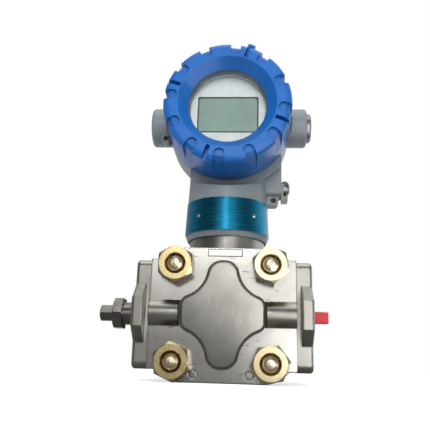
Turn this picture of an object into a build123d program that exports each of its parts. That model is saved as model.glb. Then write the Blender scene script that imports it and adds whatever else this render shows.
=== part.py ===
from build123d import *
from math import cos, radians, sin
import os

os.makedirs("parts", exist_ok=True)

# A differential pressure transmitter, in millimetres.
# X runs to the right of the display, Y away from it, and Z up.
# The origin is on the neck axis, at the flat underside of the two process heads.

# Process heads
head_height = 76.0
head_half_width = 42.0
head_front = 40.0
head_back = 17.0
head_corner = 19.0
bolt_pitch = 54.0
bolt_radius = 5.5
bolt_clearance = 0.45
flange_reach = 51.5
flange_half_height = 31.3
flange_inner = 45.0
flange_web = 36.0
web_overlap = 7.0
flange_edge = 2.0
flange_bulge = 46.0
bulge_half_height = 8.2
bulge_slope = 8.6
flange_round = 4.0
port_pitch = 54.0
port_radius = 5.7
port_depth = 17.0
passage_radius = 2.5
flange_hole_pitch = 41.3
# Tapping drills for the same thread at both ends, the left one at the tight end of its tolerance.
flange_drill_right = 4.95
flange_drill_left = 4.88
flange_hole_depth = 16.0
bracket_hole_radius = 3.4
bracket_hole_depth = 12.0

# Cast relief on the face of each head
plateau_half_width = 23.4
plateau_half_height = 29.5
plateau_scallop = 19.3
plateau_rise = 0.9
plateau_tip_round = 7.2
plateau_side_round = 5.0
groove_width = 1.4
groove_depth = 1.5
rib_half_height = 7.2
rib_rise = 4.4
mark_radius = 2.5
mark_inner = 2.0
mark_offset = 15.6
mark_height = 4.6
mark_depth = 0.25

# Bolts and nuts
nut_height = 10.6
nut_flats = 19.05
nut_bevel = 1.6
nut_countersink = 6.1
nut_countersink_depth = 0.8
bolt_head_height = 7.2
bolt_head_flats = 19.05
bolt_head_bevel = 1.5
bolt_dome = 1.3
bolt_tip = 0.4
bolt_tip_radius = 4.4
bolt_tip_length = 3.0

# Meter body between the heads
body_radius = 30.0
body_half_depth = 16.0
body_edge = 1.5
weld_groove = 0.8
neck_web_radius = 15.5
collar_radius = 24.3
collar_bottom = 77.5
collar_top = 101.0
spigot_radius = 19.0
spigot_top = 108.0
header_radius = 11.0
header_height = 3.0
pin_radius = 0.5
pin_height = 6.0
pin_circle = 6.5
pin_count = 6
seal_section = 1.7
seal_offset = 17.5
diaphragm_radius = 23.0
diaphragm_thickness = 0.4
diaphragm_flat = 5.0
chamber_radius = 22.0
chamber_depth = 7.0
gasket_inner = 24.0
gasket_outer = 28.5
gasket_thickness = 2.0

# Vent valves on the left, transport plugs on the right
vent_neck_radius = 6.6
vent_flats = 17.2
vent_stem_flats = 9.0
# Lengths of the neck, the hexagon, the gap before the stem's hexagon, and that hexagon
vent_lengths = {"front": (7.5, 5.6, 0.9, 7.3), "rear": (2.0, 4.2, 0.4, 3.8)}
vent_stem_radius = 3.2
vent_stem_clearance = 0.3
vent_thread_length = 13.0
plug_square = 6.9
plug_grips = {"front": 9.4, "rear": 7.0}
plug_depth = 12.0
plug_clearance = 0.3
plug_draft = 0.25

# Electronics housing
barrel_height = 168.0
barrel_center = 1.6
barrel_radius = 41.0
barrel_half_length = 14.4
compartment_radius = 33.0
spigot_ring_radius = 35.4
spigot_ring_length = 22.0
rear_ring_length = 8.0
partition_front = -16.0
partition_thickness = 3.0
housing_neck_bottom = 87.0
housing_neck_radius = 27.4
housing_neck_top_radius = 25.9
neck_rim_height = 4.0
neck_rim_inset = 1.7
socket_clearance = 0.5
socket_top = 117.8
wire_way_radius = 6.0
wire_way_offset = 4.0
conduit_center = -2.8
conduit_reach = 52.3
conduit_radius = 13.2
conduit_round = 2.2
conduit_bore = 9.0
conduit_bore_depth = 17.0
conduit_throat = 7.5
saddle_radius = 46.0
saddle_left = 24.6
saddle_right = 34.4
saddle_top = 148.0
saddle_length = 9.0
side_boss_center = 0.0
side_boss_reach = 35.4
side_boss_bottom = 119.0
side_boss_top = 150.0
side_boss_depth = 15.0
side_boss_round = 2.5
lock_lug_reach = 33.6
lock_lug_bottom = 112.8
lock_lug_height = 6.4
lock_lug_depth = 9.0
lock_lug_round = 2.6
lock_lug_screw = 3.4
front_lug_angle = 198.0
rear_lug_angle = 60.0
cap_lug_radius = 43.6
cap_lug_size = 2.8
cap_lug_reach = 4.6
cap_lug_length = 9.0

# Caps
cap_clearance = 0.4
cap_gap = 0.3
cap_side_gap = 0.8
cap_neck_radius = 48.6
cap_radius = 40.4
cap_skirt_radius = 41.0
cap_front = 33.2
cap_corner = 4.0
bevel_radius = 30.7
window_radius = 24.85
bevel_depth = 6.6
lip_thickness = 1.0
glass_radius = 28.5
glass_thickness = 5.0
retainer_thickness = 2.4
retainer_inner = 24.0
rear_cap_radius = 39.0
rear_cap_skirt = 39.4
rear_cap_depth = 15.5
rear_dish_radius = 27.7
rear_dish_depth = 1.6
rear_cap_wall = 3.4
flute_count = 12
flute_width = 6.6
flute_inner = 31.8
flute_depth = 1.8
flute_angle = 23.0
slot_count = 4
slot_width = 2.6
slot_inner = 31.6
slot_depth = 4.5
flute_fade = 9.0
slot_angle = 70.0
lug_width = 4.6
lug_rise = 3.8
lug_root = 4.0
lug_start = 4.0
lug_length = 8.0
cap_seal_section = 1.7
cap_seal_offset = 2.4

# Display and electronics
display_front = -30.6
bezel_radius = 30.0
bezel_thickness = 2.0
lcd_width = 38.6
lcd_height = 24.2
lcd_drop = 2.6
lcd_gap = 0.2
board_radius = 29.0
board_thickness = 1.6
module_radius = 30.0
module_depth = 8.0
standoff_radius = 2.0
standoff_circle = 26.0
terminal_plate_radius = 31.0
terminal_plate_thickness = 4.0
terminal_block_width = 40.0
terminal_block_height = 14.0
terminal_block_depth = 7.0
terminal_count = 4
terminal_pitch = 9.5
terminal_screw_radius = 2.8
terminal_screw_height = 1.8
barrier_thickness = 1.4

# Small fittings
plug_head_radius = 9.9
plug_head_height = 2.8
plug_thread_length = 14.0
plug_socket_flats = 9.5
plug_socket_depth = 4.0
plate_bottom = 90.4
plate_height = 21.2
plate_thickness = 0.5
plate_left = 76.0
plate_right = 68.0
rivet_radius = 1.1
rivet_height = 0.7
rivet_angle = 38.5
ground_height = 125.4
ground_screw_radius = 2.5
ground_screw_length = 10.0
ground_head_radius = 5.2
ground_head_height = 4.2
ground_slot_width = 1.2
ground_slot_depth = 1.6
clamp_width = 9.0
clamp_height = 13.0
clamp_thickness = 1.4
clamp_drop = -2.8
clamp_lip = 4.2
clamp_lip_height = 3.2
set_screw_radius = 1.9
set_screw_length = 7.0
set_screw_socket = 1.8
fit_gap = 0.05

# Places worked out from the sizes above
port_height = head_height / 2
bolt_hole_radius = bolt_radius + bolt_clearance
port_offset = port_pitch / 2
seal_height = collar_bottom + seal_offset
lcd_center = barrel_height - lcd_drop
barrel_front = barrel_center - barrel_half_length
barrel_rear = barrel_center + barrel_half_length
cap_face = barrel_front - cap_front
cap_rim = barrel_front - cap_gap
lip_face = cap_face + bevel_depth
glass_face = lip_face + lip_thickness
glass_back = glass_face + glass_thickness
retainer_back = glass_back + retainer_thickness
socket_radius = collar_radius + socket_clearance
spigot_end = barrel_front - spigot_ring_length
head_recess = gasket_thickness - (head_back - body_half_depth)

bolt_places = [
    (sx * bolt_pitch / 2, port_height + sz * bolt_pitch / 2)
    for sx in (-1, 1)
    for sz in (-1, 1)
]


def save(piece, label):
    piece.label = label
    export_step(piece, f"parts/{label}.step")


def facing(y, z=0.0):
    # A sketch plane seen from the front: local x is X and local y is Z.
    return Plane(origin=(0, y, z), x_dir=(1, 0, 0), z_dir=(0, -1, 0))


def sideways(x, y=0.0, z=0.0):
    # A sketch plane on an axis along X: local x is Y and local y is Z.
    return Plane(origin=(x, y, z), x_dir=(0, 1, 0), z_dir=(1, 0, 0))


def turned(points, x=0.0, y=0.0, z=0.0, along="Y"):
    # A closed profile of (radius, distance) points turned about a line through (x, y, z).
    if along == "Y":
        plane = Plane(origin=(x, y, z), x_dir=(1, 0, 0), z_dir=(0, 0, 1))
        line = Axis((x, y, z), (0, 1, 0))
    elif along == "X":
        plane = Plane(origin=(x, y, z), x_dir=(0, 1, 0), z_dir=(0, 0, -1))
        line = Axis((x, y, z), (1, 0, 0))
    else:
        plane = Plane(origin=(x, y, z), x_dir=(1, 0, 0), z_dir=(0, -1, 0))
        line = Axis((x, y, z), (0, 0, 1))
    with BuildPart() as shape:
        with BuildSketch(plane):
            with BuildLine():
                Polyline(*points, close=True)
            make_face()
        revolve(axis=line)
    return shape.part


# Front process head: block, flanges, cast relief and drillings.
# It is made on the display side and mirrored for the rear.
with BuildPart() as process_head:
    with BuildSketch(facing(-head_back)):
        with Locations((0, port_height)):
            RectangleRounded(2 * head_half_width, head_height, head_corner)
    extrude(amount=head_front - head_back)

    # The half-round ribs over the pressure passages.
    rib_radius = (rib_half_height**2 + rib_rise**2) / (2 * rib_rise)
    rib_center = head_front + rib_rise - rib_radius
    with BuildSketch(sideways(-head_half_width)):
        with Locations((-rib_center, port_height)):
            Circle(rib_radius)
        with Locations((-head_back / 2, port_height)):
            Rectangle(head_back, head_height, mode=Mode.SUBTRACT)
    extrude(amount=2 * head_half_width)

    # The raised plateau: a rounded rectangle with a scallop round each nut.
    with BuildSketch(facing(-head_front)) as plateau:
        with Locations((0, port_height)):
            Rectangle(2 * plateau_half_width, 2 * plateau_half_height)
        with Locations(*bolt_places):
            Circle(plateau_scallop, mode=Mode.SUBTRACT)
        tips = plateau.vertices().group_by(Axis.Y)
        fillet(tips[0] + tips[-1], plateau_tip_round)
        flanks = plateau.vertices().group_by(Axis.X)
        fillet(flanks[0] + flanks[-1], plateau_side_round)
    with BuildSketch(facing(-head_front)) as plateau_moat:
        add(plateau.sketch)
        offset(amount=groove_width)
    extrude(plateau_moat.sketch, amount=rib_rise + 1, mode=Mode.SUBTRACT)
    extrude(plateau_moat.sketch, amount=-groove_depth, mode=Mode.SUBTRACT)
    extrude(plateau.sketch, amount=-groove_depth)
    extrude(plateau.sketch, amount=plateau_rise)

    # Flanges at both ends, bulged round the ports, on a web as high as they are.
    low = port_height - flange_half_height
    high = port_height + flange_half_height
    for side in (-1, 1):
        with BuildSketch(sideways(side * (head_half_width - web_overlap))) as web:
            with Locations((-(flange_web + head_back) / 2, port_height)):
                Rectangle(flange_web - head_back, 2 * flange_half_height)
            fillet(web.vertices().group_by(Axis.X)[0], flange_round)
        extrude(amount=side * (flange_inner + 1 - head_half_width + web_overlap))
        with BuildPart(mode=Mode.PRIVATE) as flange:
            with BuildSketch(sideways(side * flange_inner)) as flange_face:
                with BuildLine():
                    Polyline(
                        (-head_back, low),
                        (-flange_web, low),
                        (-flange_web, port_height - bulge_half_height - bulge_slope),
                        (-flange_bulge, port_height - bulge_half_height),
                        (-flange_bulge, port_height + bulge_half_height),
                        (-flange_web, port_height + bulge_half_height + bulge_slope),
                        (-flange_web, high),
                        (-head_back, high),
                        close=True,
                    )
                make_face()
                front = flange_face.vertices().group_by(Axis.X)[1]
                outer = front.sort_by(Axis.Y)
                fillet([outer[0], outer[-1]], flange_round)
            extrude(amount=side * (flange_reach - flange_inner))
            rim = flange.faces().sort_by(Axis.X)[0 if side < 0 else -1].edges()
            inner_edge = rim.sort_by(Axis.Y)[-1]
            fillet([edge for edge in rim if edge != inner_edge], flange_edge)
        add(flange.part)

    # Bolt holes, with the port, passage, chamber, flange and bracket drillings.
    with BuildSketch(facing(-head_back)):
        with Locations(*bolt_places):
            Circle(bolt_hole_radius)
    extrude(amount=flange_bulge, mode=Mode.SUBTRACT)
    for side, flange_drill in ((-1, flange_drill_left), (1, flange_drill_right)):
        with BuildSketch(sideways(side * flange_reach, -port_offset, port_height)):
            Circle(port_radius)
        extrude(amount=-side * port_depth, mode=Mode.SUBTRACT)
        with BuildSketch(sideways(side * (flange_reach - port_depth), -port_offset, port_height)):
            Circle(passage_radius)
        extrude(amount=-side * (flange_reach - port_depth - chamber_radius / 2), mode=Mode.SUBTRACT)
        with BuildSketch(facing(-head_back)):
            with Locations((side * chamber_radius / 2, port_height)):
                Circle(passage_radius)
        extrude(amount=port_offset + passage_radius - head_back, mode=Mode.SUBTRACT)
        with BuildSketch(sideways(side * flange_reach, -port_offset, port_height)):
            with Locations((0, -flange_hole_pitch / 2), (0, flange_hole_pitch / 2)):
                Circle(flange_drill)
        extrude(amount=-side * flange_hole_depth, mode=Mode.SUBTRACT)
    with BuildSketch(facing(-head_back)):
        with Locations((0, port_height)):
            Circle(gasket_outer + fit_gap)
    extrude(amount=head_recess, mode=Mode.SUBTRACT)
    with BuildSketch(facing(-head_back)):
        with Locations((0, port_height)):
            Circle(chamber_radius)
    extrude(amount=chamber_depth, mode=Mode.SUBTRACT)
    with BuildSketch(Plane.XY):
        with Locations((0, -(head_front + head_back) / 2)):
            Circle(bracket_hole_radius)
    extrude(amount=bracket_hole_depth, mode=Mode.SUBTRACT)

    # Two small cast rings near the lower edge of the face.
    with BuildSketch(facing(-head_front)):
        with Locations((-mark_offset, mark_height), (mark_offset, mark_height)):
            Circle(mark_radius)
            Circle(mark_inner, mode=Mode.SUBTRACT)
    extrude(amount=-mark_depth, mode=Mode.SUBTRACT)

save(process_head.part, "process_head_front")
rear_head = mirror(process_head.part, about=Plane.XZ)
save(rear_head, "process_head_rear")

# Long bolts through both heads, with their heads at the rear and domed tips in the nuts.
nut_face = -head_front - nut_height
bolt_end = nut_face - bolt_tip
head_corner_radius = bolt_head_flats / 2 / cos(radians(30))
with BuildPart() as head_bolts:
    for x, z in bolt_places:
        add(
            turned(
                [
                    (0, bolt_end),
                    (bolt_tip_radius * 0.55, bolt_end + bolt_dome * 0.2),
                    (bolt_tip_radius * 0.88, bolt_end + bolt_dome * 0.6),
                    (bolt_tip_radius, bolt_end + bolt_dome),
                    (bolt_tip_radius, bolt_end + bolt_tip_length),
                    (bolt_radius, bolt_end + bolt_tip_length + bolt_radius - bolt_tip_radius),
                    (bolt_radius, head_front),
                    (head_corner_radius + 1, head_front),
                    (head_corner_radius + 1, head_front + bolt_head_height - bolt_head_bevel),
                    (bolt_head_flats / 2 - 0.4, head_front + bolt_head_height),
                    (0, head_front + bolt_head_height),
                ],
                x=x,
                z=z,
            )
        )
    with BuildSketch(facing(head_front + bolt_head_height + 1)):
        with Locations(*bolt_places):
            RegularPolygon(bolt_head_flats / 2, 6, major_radius=False)
    extrude(amount=bolt_head_height - bolt_end + head_front + 2, mode=Mode.INTERSECT)

save(head_bolts.part, "head_bolts")

# Nuts on the face of the front head, each turned its own way.
nut_turns = {(-1, 1): 30.0, (1, 1): 41.0, (-1, -1): 37.0, (1, -1): 8.0}
nut_corner_radius = nut_flats / 2 / cos(radians(30))
with BuildPart() as head_nuts:
    for x, z in bolt_places:
        add(
            turned(
                [
                    (bolt_radius + fit_gap, -head_front),
                    (nut_corner_radius + 1, -head_front),
                    (nut_corner_radius + 1, nut_face + nut_bevel),
                    (nut_flats / 2 - 0.4, nut_face),
                    (nut_countersink, nut_face),
                    (bolt_radius + fit_gap, nut_face + nut_countersink_depth),
                ],
                x=x,
                z=z,
            )
        )
    with BuildSketch(facing(-head_front + 1)):
        for (sx, sz), turn in nut_turns.items():
            with Locations((sx * bolt_pitch / 2, port_height + sz * bolt_pitch / 2)):
                RegularPolygon(nut_flats / 2, 6, major_radius=False, rotation=turn)
    extrude(amount=nut_height + 2, mode=Mode.INTERSECT)

save(head_nuts.part, "head_nuts")

# Meter body: a drum between the heads, a narrow web above it and the collar.
with BuildPart() as meter_body:
    add(
        turned(
            [
                (0, -body_half_depth),
                (body_radius - body_edge, -body_half_depth),
                (body_radius, -body_half_depth + body_edge),
                (body_radius, -weld_groove),
                (body_radius - weld_groove, 0),
                (body_radius, weld_groove),
                (body_radius, body_half_depth - body_edge),
                (body_radius - body_edge, body_half_depth),
                (0, body_half_depth),
            ],
            z=port_height,
        )
    )
    seal_groove_radius = collar_radius - seal_section
    add(
        turned(
            [
                (0, port_height),
                (neck_web_radius, port_height),
                (neck_web_radius, collar_bottom),
                (collar_radius - 1, collar_bottom),
                (collar_radius, collar_bottom + 1),
                (collar_radius, seal_height - seal_section / 2 - 0.1),
                (seal_groove_radius, seal_height - seal_section / 2 - 0.1),
                (seal_groove_radius, seal_height + seal_section / 2 + 0.1),
                (collar_radius, seal_height + seal_section / 2 + 0.1),
                (collar_radius, collar_top - 1),
                (collar_radius - 1, collar_top),
                (spigot_radius, collar_top),
                (spigot_radius, spigot_top),
                (0, spigot_top),
            ],
            along="Z",
        )
    )

save(meter_body.part, "meter_body")

# Electrical header with its ring of pins on top of the meter body.
with BuildPart() as sensor_header:
    with BuildSketch(Plane.XY.offset(spigot_top)):
        Circle(header_radius)
    extrude(amount=header_height)
    with BuildSketch(Plane.XY.offset(spigot_top + header_height)):
        with PolarLocations(pin_circle, pin_count):
            Circle(pin_radius)
    extrude(amount=pin_height)

save(sensor_header.part, "sensor_header")

# Seal ring in the groove of the collar.
with BuildPart() as neck_seal:
    add(
        turned(
            [
                (seal_groove_radius, seal_height - seal_section / 2),
                (collar_radius + fit_gap, seal_height - seal_section / 2),
                (collar_radius + fit_gap, seal_height + seal_section / 2),
                (seal_groove_radius, seal_height + seal_section / 2),
            ],
            along="Z",
        )
    )

save(neck_seal.part, "neck_seal")

# Thin corrugated diaphragms on both faces of the drum, and the gasket rings round them.
wave_count = 4
wave_pitch = (diaphragm_radius - diaphragm_flat) / (2 * wave_count + 1)
for name, side in (("front", -1), ("rear", 1)):
    face = side * body_half_depth
    outer_face = face + side * diaphragm_thickness
    crest = outer_face + side * diaphragm_thickness
    ripple = [(0, face), (0, outer_face), (diaphragm_flat, outer_face)]
    for wave in range(wave_count):
        ripple.append((diaphragm_flat + wave_pitch * (2 * wave + 1), crest))
        ripple.append((diaphragm_flat + wave_pitch * (2 * wave + 2), outer_face))
    ripple.append((diaphragm_radius, outer_face))
    ripple.append((diaphragm_radius, face))
    with BuildPart() as diaphragm:
        add(turned(ripple, z=port_height))
    save(diaphragm.part, f"diaphragm_{name}")
    with BuildPart() as gasket:
        with BuildSketch(facing(side * body_half_depth)):
            with Locations((0, port_height)):
                Circle(gasket_outer)
                Circle(gasket_inner, mode=Mode.SUBTRACT)
        extrude(amount=-side * gasket_thickness)
    save(gasket.part, f"head_gasket_{name}")

# Vent valves in the left ports: a hexagonal body and a stem turned with a spanner.
vent_corner = vent_flats / 2 / cos(radians(30))
stem_corner = vent_stem_flats / 2 / cos(radians(30))
for name, side in (("front", -1), ("rear", 1)):
    y = side * port_offset
    neck_length, hex_length, stem_gap, stem_hex_length = vent_lengths[name]
    vent_face = -flange_reach - neck_length
    vent_end = vent_face - hex_length
    stem_face = vent_end - stem_gap
    stem_end = stem_face - stem_hex_length
    stem_span = vent_thread_length - flange_reach - stem_end
    with BuildPart() as vent_body:
        add(
            turned(
                [
                    (vent_stem_radius + vent_stem_clearance, -flange_reach + vent_thread_length),
                    (port_radius - fit_gap, -flange_reach + vent_thread_length),
                    (port_radius - fit_gap, -flange_reach),
                    (vent_neck_radius, -flange_reach),
                    (vent_neck_radius, vent_face),
                    (vent_corner + 1, vent_face),
                    (vent_corner + 1, vent_end + 1.4),
                    (vent_flats / 2 - 0.4, vent_end),
                    (vent_stem_radius + vent_stem_clearance, vent_end),
                ],
                y=y,
                z=port_height,
                along="X",
            )
        )
        with BuildSketch(sideways(vent_end - 1, y, port_height)):
            RegularPolygon(vent_corner, 6)
        extrude(amount=stem_span, mode=Mode.INTERSECT)
    save(vent_body.part, f"vent_body_{name}")
    with BuildPart() as vent_stem:
        add(
            turned(
                [
                    (0, -flange_reach + vent_thread_length - 1.5),
                    (vent_stem_radius * 0.4, -flange_reach + vent_thread_length - 1.5),
                    (vent_stem_radius, -flange_reach + vent_thread_length - 5),
                    (vent_stem_radius, stem_face),
                    (stem_corner + 1, stem_face),
                    (stem_corner + 1, stem_end + 1.2),
                    (vent_stem_flats / 2 - 0.6, stem_end),
                    (0, stem_end),
                ],
                y=y,
                z=port_height,
                along="X",
            )
        )
        with BuildSketch(sideways(stem_end - 1, y, port_height)):
            RegularPolygon(stem_corner, 6)
        extrude(amount=stem_span + 1, mode=Mode.INTERSECT)
    save(vent_stem.part, f"vent_stem_{name}")

    # Push-in transport plug in the right port, with a square grip.
    with BuildPart() as port_plug:
        with BuildSketch(sideways(flange_reach - plug_depth, y, port_height)):
            Circle(port_radius - plug_clearance)
        extrude(amount=plug_depth)
        with BuildSketch(sideways(flange_reach, y, port_height)):
            RectangleRounded(plug_square, plug_square, 0.8)
        with BuildSketch(sideways(flange_reach + plug_grips[name], y, port_height)):
            RectangleRounded(plug_square - 2 * plug_draft, plug_square - 2 * plug_draft, 0.8)
        loft()
    save(port_plug.part, f"port_plug_{name}")

# Electronics housing: a barrel across a short neck, cast in one piece.
barrel_bottom = barrel_height - barrel_radius
inside_barrel = barrel_height - spigot_ring_radius / 2
partition_back = partition_front + partition_thickness
with BuildPart() as neck_column:
    add(
        turned(
            [
                (0, housing_neck_bottom),
                (housing_neck_radius - neck_rim_inset, housing_neck_bottom),
                (housing_neck_radius, housing_neck_bottom + neck_rim_height),
                (housing_neck_top_radius, barrel_bottom),
                (housing_neck_top_radius, inside_barrel),
                (0, inside_barrel),
            ],
            along="Z",
        )
    )
    # The column stops short of both caps, so that they turn past it.
    with BuildSketch(facing(barrel_front, barrel_height)):
        Circle(cap_neck_radius)
    extrude(amount=housing_neck_radius, mode=Mode.SUBTRACT)
    with BuildSketch(facing(barrel_rear, barrel_height)):
        Circle(cap_neck_radius)
    extrude(amount=-housing_neck_radius, mode=Mode.SUBTRACT)


def lug_place(angle):
    turn = radians(angle)
    return (cap_lug_radius * cos(turn), barrel_height + cap_lug_radius * sin(turn))


front_lug = lug_place(front_lug_angle)
rear_lug = lug_place(rear_lug_angle)
front_lug_face = barrel_front - cap_lug_reach
boss_middle = (side_boss_bottom + side_boss_top) / 2
boss_inside = housing_neck_top_radius / 2
with BuildPart() as fittings:
    # Conduit bosses on both sides, rounded at their ends.
    with BuildSketch(sideways(-conduit_reach, conduit_center, barrel_height)):
        Circle(conduit_radius)
    extrude(amount=2 * conduit_reach)
    fillet(fittings.edges().filter_by(GeomType.CIRCLE), conduit_round)

    # The saddle where the neck widens below the barrel.
    with BuildSketch(facing(barrel_front, barrel_height)):
        Circle(saddle_radius)
        with Locations(((saddle_right - saddle_left) / 2, saddle_top - barrel_height - saddle_radius / 2)):
            Rectangle(saddle_left + saddle_right, saddle_radius, mode=Mode.INTERSECT)
    extrude(amount=-saddle_length)

    # Boss for the ground screw, and the lug of the lock screw, on the right of the neck.
    with BuildSketch(sideways(boss_inside, side_boss_center, boss_middle)):
        RectangleRounded(side_boss_depth, side_boss_top - side_boss_bottom, side_boss_round)
    extrude(amount=side_boss_reach - boss_inside)
    with BuildSketch(facing(-lock_lug_depth / 2, lock_lug_bottom + lock_lug_height / 2)) as lug_face:
        with Locations(((lock_lug_reach + boss_inside) / 2, 0)):
            Rectangle(lock_lug_reach - boss_inside, lock_lug_height)
        fillet(lug_face.vertices().group_by(Axis.X)[-1], lock_lug_round)
    extrude(amount=-lock_lug_depth)

    # Lugs that hold the cap lock screws, one beside each cap.
    for place, y in ((front_lug, front_lug_face), (rear_lug, barrel_rear - cap_lug_length)):
        with BuildSketch(facing(y)):
            with Locations(place):
                Circle(cap_lug_size)
        extrude(amount=-cap_lug_length)

    # All of these stop short of the caps.
    with BuildSketch(facing(barrel_front, barrel_height)):
        Circle(cap_skirt_radius + cap_side_gap)
    extrude(amount=spigot_ring_length, mode=Mode.SUBTRACT)
    with BuildSketch(facing(barrel_rear, barrel_height)):
        Circle(cap_skirt_radius + cap_side_gap)
    extrude(amount=-spigot_ring_length, mode=Mode.SUBTRACT)

with BuildPart() as housing:
    add(
        turned(
            [
                (0, spigot_end),
                (spigot_ring_radius, spigot_end),
                (spigot_ring_radius, barrel_front),
                (barrel_radius - 1, barrel_front),
                (barrel_radius, barrel_front + 1),
                (barrel_radius, barrel_rear - 1),
                (barrel_radius - 1, barrel_rear),
                (spigot_ring_radius, barrel_rear),
                (spigot_ring_radius, barrel_rear + rear_ring_length),
                (0, barrel_rear + rear_ring_length),
            ],
            z=barrel_height,
        )
    )
    add(neck_column.part)
    add(fittings.part)

    # Compartments, neck socket, wire way, conduit bores and screw holes.
    with BuildSketch(facing(spigot_end, barrel_height)):
        Circle(compartment_radius)
    extrude(amount=spigot_end - partition_front, mode=Mode.SUBTRACT)
    with BuildSketch(facing(partition_back, barrel_height)):
        Circle(compartment_radius)
    extrude(amount=partition_back - barrel_rear - rear_ring_length, mode=Mode.SUBTRACT)
    with BuildSketch(Plane.XY.offset(housing_neck_bottom)):
        Circle(socket_radius)
    extrude(amount=socket_top - housing_neck_bottom, mode=Mode.SUBTRACT)
    with BuildSketch(Plane.XY.offset(socket_top)):
        with Locations((0, -wire_way_offset)):
            Circle(wire_way_radius)
    extrude(amount=barrel_height - compartment_radius - socket_top + 3, mode=Mode.SUBTRACT)
    for side in (-1, 1):
        with BuildSketch(sideways(side * conduit_reach, conduit_center, barrel_height)):
            Circle(conduit_bore)
        extrude(amount=-side * conduit_bore_depth, mode=Mode.SUBTRACT)
        with BuildSketch(sideways(side * conduit_reach, conduit_center, barrel_height)):
            Circle(conduit_throat)
        extrude(amount=-side * (conduit_reach - compartment_radius + conduit_throat), mode=Mode.SUBTRACT)
    with BuildSketch(sideways(side_boss_reach, side_boss_center, ground_height)):
        Circle(ground_screw_radius + fit_gap)
    extrude(amount=-ground_screw_length, mode=Mode.SUBTRACT)
    with BuildSketch(facing(-lock_lug_depth / 2)):
        with Locations((lock_lug_reach - lock_lug_screw, lock_lug_bottom + lock_lug_height / 2)):
            Circle(set_screw_radius + fit_gap)
    extrude(amount=-set_screw_length, mode=Mode.SUBTRACT)
    with BuildSketch(facing(front_lug_face)):
        with Locations(front_lug):
            Circle(set_screw_radius + fit_gap)
    extrude(amount=-set_screw_length, mode=Mode.SUBTRACT)
    with BuildSketch(facing(barrel_rear)):
        with Locations(rear_lug):
            Circle(set_screw_radius + fit_gap)
    extrude(amount=set_screw_length, mode=Mode.SUBTRACT)

save(housing.part, "electronics_housing")


def fluted(blank, radius, skirt, face):
    # Cuts the finger flutes round the rim of a cap.
    with BuildPart() as flutes:
        add(
            turned(
                [
                    (0, face - 1),
                    (skirt + 4, face - 1),
                    (skirt + 4, cap_rim - flute_fade * (cap_rim - face) / cap_front),
                    (skirt, cap_rim - flute_fade * (cap_rim - face) / cap_front),
                    (radius - flute_depth, face + cap_corner),
                    (radius - cap_corner, face + flute_depth),
                    (0, face + flute_depth),
                ],
                z=barrel_height,
            )
        )
        with BuildSketch(facing(cap_rim, barrel_height)):
            arch_center = flute_inner + flute_width / 2
            run = skirt + 3 - arch_center
            with PolarLocations(arch_center, flute_count, start_angle=flute_angle):
                Circle(flute_width / 2)
            with PolarLocations(arch_center + run / 2, flute_count, start_angle=flute_angle):
                Rectangle(run, flute_width)
        extrude(amount=cap_front + 2, mode=Mode.INTERSECT)
    with BuildPart() as cap:
        add(blank)
        add(flutes.part, mode=Mode.SUBTRACT)
    return cap.part


def slotted(blank):
    # Adds the lug at the back of the first bar slot and cuts the four slots.
    with BuildPart() as lug:
        add(
            turned(
                [
                    (cap_radius - lug_root, cap_face + lug_start),
                    (cap_radius + lug_rise - 1, cap_face + lug_start),
                    (cap_radius + lug_rise, cap_face + lug_start + 1),
                    (cap_radius + lug_rise, cap_face + lug_start + lug_length - lug_rise),
                    (cap_radius, cap_face + lug_start + lug_length),
                    (cap_radius - lug_root, cap_face + lug_start + lug_length),
                ],
                z=barrel_height,
            )
        )
        with BuildSketch(facing(cap_rim, barrel_height)):
            with PolarLocations(cap_radius, 1, start_angle=slot_angle):
                Rectangle(2 * (lug_root + 1), lug_width)
        extrude(amount=cap_front + 2, mode=Mode.INTERSECT)
    with BuildPart() as cap:
        add(blank)
        add(lug.part)
        with BuildSketch(facing(cap_face, barrel_height)):
            slot_run = cap_skirt_radius + 1 - slot_inner
            with PolarLocations(slot_inner + slot_run / 2, slot_count, start_angle=slot_angle):
                Rectangle(slot_run, slot_width)
        extrude(amount=-slot_depth, mode=Mode.SUBTRACT)
    return cap.part


# The rim, skirt and seal groove that both caps share, from the face round to the shoulder.
seal_middle = cap_rim - cap_seal_offset
bore = spigot_ring_radius + cap_clearance
groove_floor = bore + cap_seal_section + cap_gap
groove_half = cap_seal_section / 2 + cap_gap
shoulder = spigot_end - cap_clearance
boss_radius = compartment_radius - cap_clearance
corner_steps = 4


def cap_outline(radius, skirt, face, inside):
    # Points from the flat ring over the rounded corner and down the skirt to the bore.
    points = []
    for step in range(corner_steps + 1):
        angle = radians(90 * step / corner_steps)
        out = radius - cap_corner + cap_corner * sin(angle)
        points.append((out, face + cap_corner - cap_corner * cos(angle)))
    return points + [
        (skirt, cap_rim),
        (bore, cap_rim),
        (bore, seal_middle + groove_half),
        (groove_floor, seal_middle + groove_half),
        (groove_floor, seal_middle - groove_half),
        (bore, seal_middle - groove_half),
        (bore, inside),
    ]


# Front cap with its bevelled window, the glass and the ring that holds it.
glass_bore = glass_radius + fit_gap
front_cap_blank = turned(
    [(window_radius, lip_face), (bevel_radius, cap_face)]
    + cap_outline(cap_radius, cap_skirt_radius, cap_face, shoulder)
    + [
        (boss_radius, shoulder),
        (boss_radius, retainer_back),
        (glass_bore, retainer_back),
        (glass_bore, glass_face),
        (window_radius, glass_face),
    ],
    z=barrel_height,
)
save(slotted(fluted(front_cap_blank, cap_radius, cap_skirt_radius, cap_face)), "front_cap")

with BuildPart() as window_glass:
    with BuildSketch(facing(glass_face, barrel_height)):
        Circle(glass_radius)
    extrude(amount=-glass_thickness)

save(window_glass.part, "window_glass")

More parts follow.
